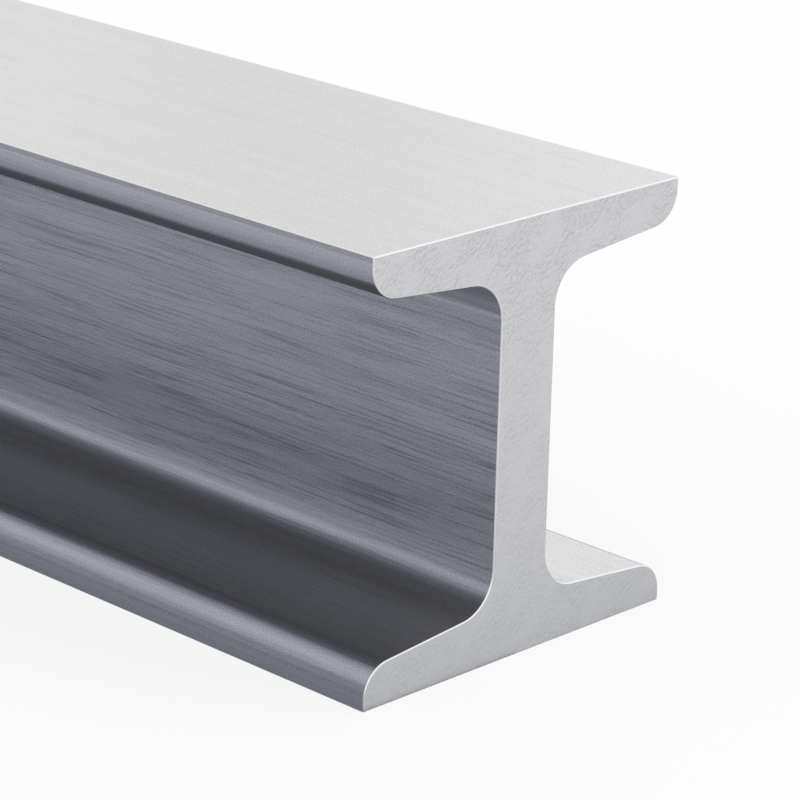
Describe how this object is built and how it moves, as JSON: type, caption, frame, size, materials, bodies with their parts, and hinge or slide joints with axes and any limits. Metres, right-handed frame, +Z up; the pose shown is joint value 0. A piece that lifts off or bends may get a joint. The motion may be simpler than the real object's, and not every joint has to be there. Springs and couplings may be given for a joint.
{
  "type": "aluminium h-beam",
  "caption": "Straight aluminium H-beam stock with tapered, round-toed flanges and a thick web, saw-cut square at the ends.",
  "frame": {"origin": "on the underside of the lower flange, midway along the bar and midway across the flange", "axes": "+X along the bar, +Y across the flanges, +Z up through the depth from the lower flange to the upper"},
  "size_m": [0.6096, 0.096, 0.1016],
  "materials": {
    "brushed_aluminium": "extruded aluminium, brushed lengthwise to a satin; the cut ends are finely sawn and matt"
  },
  "bodies": {
    "root": {"h_beam": "brushed_aluminium"}
  },
  "joints": []
}
